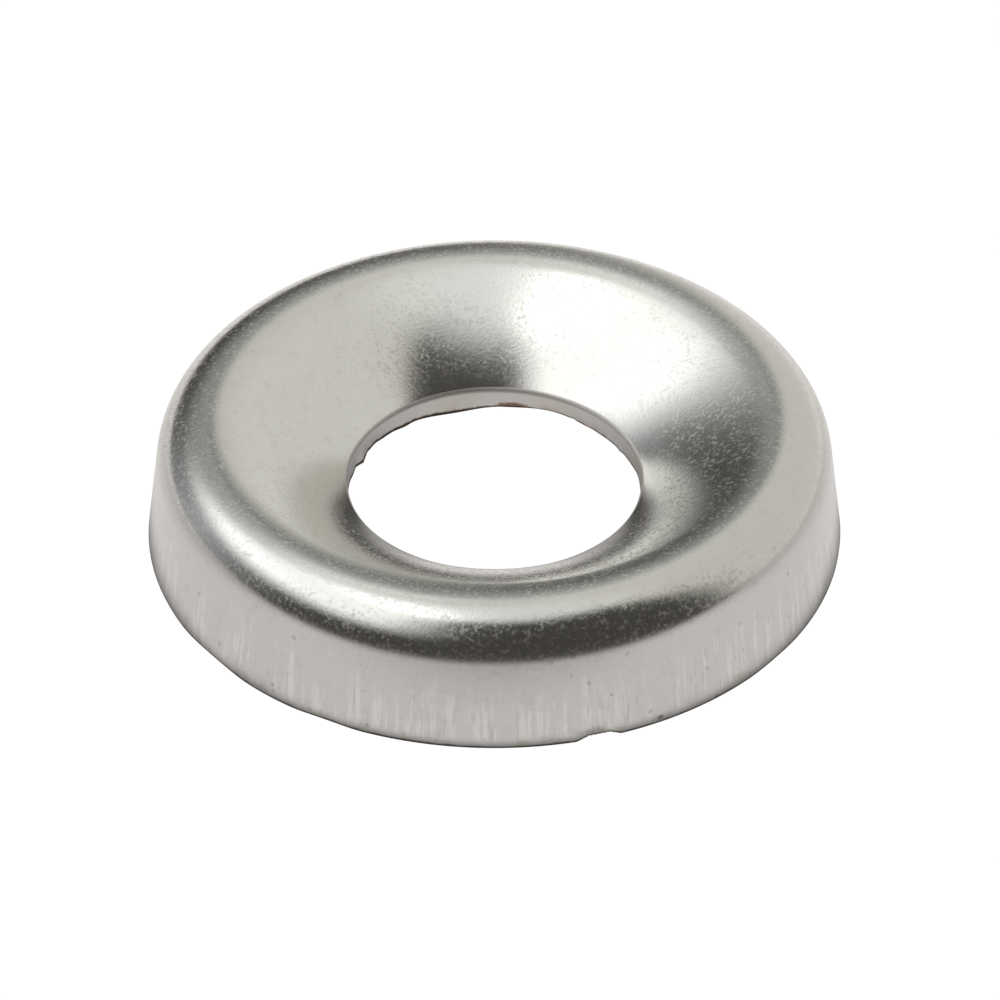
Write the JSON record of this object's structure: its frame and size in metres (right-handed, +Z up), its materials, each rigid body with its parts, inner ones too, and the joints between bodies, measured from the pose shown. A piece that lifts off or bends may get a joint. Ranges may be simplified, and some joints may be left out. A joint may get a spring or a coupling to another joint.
{
  "type": "finishing cup washer",
  "caption": "Raised countersunk cup washer of pressed plated steel, with a rolled crown and a punched hole, that seats a countersunk screw head and finishes the hole under it.",
  "frame": {"origin": "centre of the foot ring, in the plane that the washer rests on", "axes": "+Z up the screw's axis, out of the countersunk mouth; +X and +Y lie in the foot's plane, with the nick in the foot towards -Y"},
  "size_m": [0.014, 0.014, 0.0027],
  "materials": {
    "plated_steel": "bright satin nickel plating on pressed steel, with fine draw lines on the skirt"
  },
  "bodies": {
    "root": {"cup_washer": "plated_steel"}
  },
  "joints": []
}
